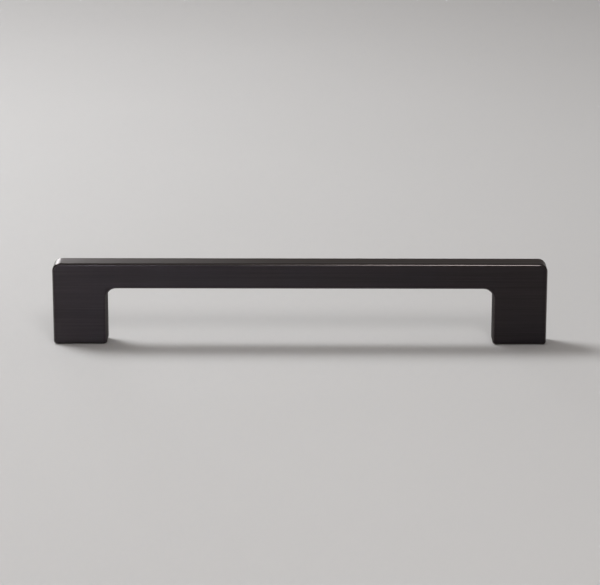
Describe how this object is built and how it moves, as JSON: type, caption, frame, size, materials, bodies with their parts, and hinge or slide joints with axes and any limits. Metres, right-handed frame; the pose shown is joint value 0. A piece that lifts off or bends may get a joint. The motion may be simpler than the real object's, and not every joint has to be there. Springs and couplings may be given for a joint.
{
  "type": "bow handle",
  "caption": "One-piece bow handle for a drawer or cabinet door: a straight bar grip that turns down into broad legs, screwed on from behind through the front panel.",
  "frame": {"origin": "midway between the two screw holes, on the plane of the two foot faces", "axes": "+X along the grip, +Z away from the door or drawer front, +Y across the grip"},
  "size_m": [0.1794, 0.009, 0.0303],
  "materials": {
    "dark_bronze": "satin"
  },
  "bodies": {
    "root": {"bow_handle": "dark_bronze"}
  },
  "joints": []
}
